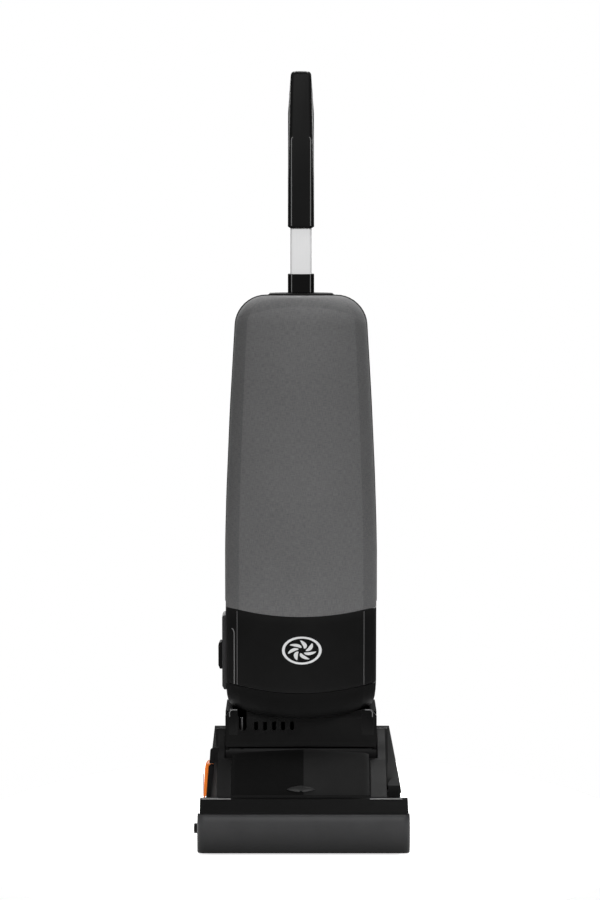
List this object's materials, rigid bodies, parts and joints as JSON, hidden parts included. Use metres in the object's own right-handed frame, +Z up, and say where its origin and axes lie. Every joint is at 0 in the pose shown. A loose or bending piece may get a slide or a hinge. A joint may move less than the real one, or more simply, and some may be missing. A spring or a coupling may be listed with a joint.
{
  "type": "upright vacuum cleaner",
  "caption": "Battery-powered upright vacuum cleaner: soft bag case on a wide floor head, reclining neck, tube handle with a loop grip.",
  "frame": {"origin": "on the floor under the middle of the machine's bounding box, upright locked", "axes": "+Z up along the handle, front of the floor head towards -Y, +X to the right when seen from the front"},
  "size_m": [0.337, 0.304, 1.213],
  "materials": {
    "black_matte": "fine-grained moulded plastic",
    "black_gloss": "satin to glossy black plastic",
    "grey_bumper": "soft dark grey bumper plastic",
    "grey_door": "dark grey moulded plastic",
    "orange_plastic": "satin orange plastic",
    "case_fabric": "tight grey woven polyester",
    "bag_fleece": "pale filter fleece",
    "foam": "open-cell filter foam",
    "bristle": "roller core with nylon bristle strips",
    "rubber": "black rubber",
    "aluminium": "satin anodised",
    "steel": "bright steel",
    "circuit_board": "green circuit board",
    "badge": "pale satin oval ring round a plain seven-bladed pinwheel on black"
  },
  "bodies": {
    "head": {"head_base": "black_matte", "head_cover": "black_gloss", "centre_cover": "black_gloss", "front_bumper": "grey_bumper", "front_trim_band": "black_gloss", "brush_tunnel": "black_matte", "brush_motor": "steel", "drive_belt": "rubber", "suction_duct": "black_matte", "wheel_axle": "steel", "front_glide_left": "rubber", "front_glide_right": "rubber", "pivot_pin_left": "steel", "pivot_pin_right": "steel", "pedal_pin": "steel"},
    "brush_cartridge": {"brush_end_cap": "black_matte"},
    "brush": {"brush_roller": "bristle"},
    "motor_drive": {"motor_pulley": "steel"},
    "brush_drive": {"drive_dog": "black_matte"},
    "wheel_left": {"rear_wheel_left": "rubber"},
    "wheel_right": {"rear_wheel_right": "rubber"},
    "release_button": {"brush_release_button": "orange_plastic"},
    "pedal": {"recline_pedal": "black_matte"},
    "upright": {"neck_housing": "black_gloss", "lower_housing": "black_gloss", "pivot_bush_left": "grey_bumper", "pivot_bush_right": "grey_bumper", "back_housing": "black_matte", "motor_cup": "black_matte", "suction_motor": "steel", "compartment_floor": "black_matte", "motor_filter": "foam", "filter_bag": "bag_fleece", "bag_collar": "bag_fleece", "bag_holder": "black_matte", "suction_riser": "black_matte", "wiring_loom": "rubber", "control_board": "circuit_board", "battery_contacts": "steel", "exhaust_filter": "bag_fleece", "handle_collar": "black_matte", "handle_tube": "aluminium", "handle_screw": "steel", "handle_grip": "black_matte", "grip_front_panel": "black_gloss", "carry_handle": "black_matte"},
    "lock": {"lock_rod": "steel"},
    "fan": {"impeller": "aluminium"},
    "side_door": {"exhaust_door": "grey_door"},
    "side_latch": {"door_latch": "black_matte"},
    "battery": {"battery_pack": "black_matte"},
    "battery_button": {"battery_latch": "grey_bumper", "latch_spring": "steel"},
    "switch": {"power_switch": "grey_bumper"},
    "bag_cover": {"soft_case": "case_fabric", "lower_front_cover": "black_gloss", "cover_frame": "black_matte", "cover_seal": "rubber", "emblem_badge": "badge"},
    "cover_button": {"cover_latch": "grey_bumper"}
  },
  "joints": [
    {"name": "recline", "type": "hinge", "parent": "head", "child": "upright", "pos_m": [0, 0.02, 0.125], "axis": [-1, 0, 0], "range_deg": [0, 75]},
    {"name": "bag_cover_tilt", "type": "hinge", "parent": "upright", "child": "bag_cover", "pos_m": [0, -0.087, 0.241], "axis": [1, 0, 0], "range_deg": [0, 60]},
    {"name": "cover_latch_push", "type": "slide", "parent": "bag_cover", "child": "cover_button", "axis": [0, -1, 0], "range_m": [0, 0.003], "stiffness_N_per_m": 300, "springref_m": -0.003},
    {"name": "battery_pull", "type": "slide", "parent": "upright", "child": "battery", "axis": [0, 1, 0], "range_m": [0, 0.08]},
    {"name": "battery_latch_push", "type": "slide", "parent": "battery", "child": "battery_button", "axis": [0, 0, -1], "range_m": [0, 0.003], "stiffness_N_per_m": 300, "springref_m": -0.003, "deforming": ["latch_spring"]},
    {"name": "side_door_pull", "type": "slide", "parent": "upright", "child": "side_door", "axis": [-1, 0, 0], "range_m": [0, 0.03]},
    {"name": "side_latch_lift", "type": "slide", "parent": "side_door", "child": "side_latch", "axis": [0, 0, 1], "range_m": [0, 0.003], "stiffness_N_per_m": 300, "springref_m": -0.003},
    {"name": "switch_rock", "type": "hinge", "parent": "upright", "child": "switch", "pos_m": [0, 0.0872, 1.11], "axis": [1, 0, 0], "range_deg": [-7, 7]},
    {"name": "fan_spin", "type": "hinge", "parent": "upright", "child": "fan", "pos_m": [0, -0.025, 0.335], "axis": [0, 0, 1], "continuous": true},
    {"name": "lock_rod_drop", "type": "slide", "parent": "upright", "child": "lock", "axis": [0, 0, -1], "range_m": [0, 0.006], "stiffness_N_per_m": 300, "springref_m": -0.004},
    {"name": "pedal_press", "type": "hinge", "parent": "head", "child": "pedal", "pos_m": [0, 0.114, 0.0755], "axis": [-1, 0, 0], "range_deg": [0, 6], "stiffness_Nm_per_rad": 0.6, "springref_deg": -11.46},
    {"name": "release_button_push", "type": "slide", "parent": "head", "child": "release_button", "axis": [1, 0, 0], "range_m": [0, 0.003], "stiffness_N_per_m": 300, "springref_m": -0.003},
    {"name": "brush_pull", "type": "slide", "parent": "head", "child": "brush_cartridge", "axis": [-1, 0, 0], "range_m": [0, 0.3]},
    {"name": "brush_spin", "type": "hinge", "parent": "brush_cartridge", "child": "brush", "pos_m": [0, -0.085, 0.03], "axis": [1, 0, 0], "continuous": true},
    {"name": "brush_drive_spin", "type": "hinge", "parent": "head", "child": "brush_drive", "pos_m": [0.145, -0.085, 0.03], "axis": [1, 0, 0], "continuous": true},
    {"name": "motor_drive_spin", "type": "hinge", "parent": "head", "child": "motor_drive", "pos_m": [0.145, -0.075, 0.084], "axis": [1, 0, 0], "continuous": true},
    {"name": "wheel_left_spin", "type": "hinge", "parent": "head", "child": "wheel_left", "pos_m": [-0.101, 0.11, 0.027], "axis": [1, 0, 0], "continuous": true},
    {"name": "wheel_right_spin", "type": "hinge", "parent": "head", "child": "wheel_right", "pos_m": [0.101, 0.11, 0.027], "axis": [1, 0, 0], "continuous": true}
  ],
  "couplings": [
    {"joint": "brush_drive_spin", "follows": "brush_spin", "ratio": 1},
    {"joint": "motor_drive_spin", "follows": "brush_spin", "ratio": 1.75}
  ]
}
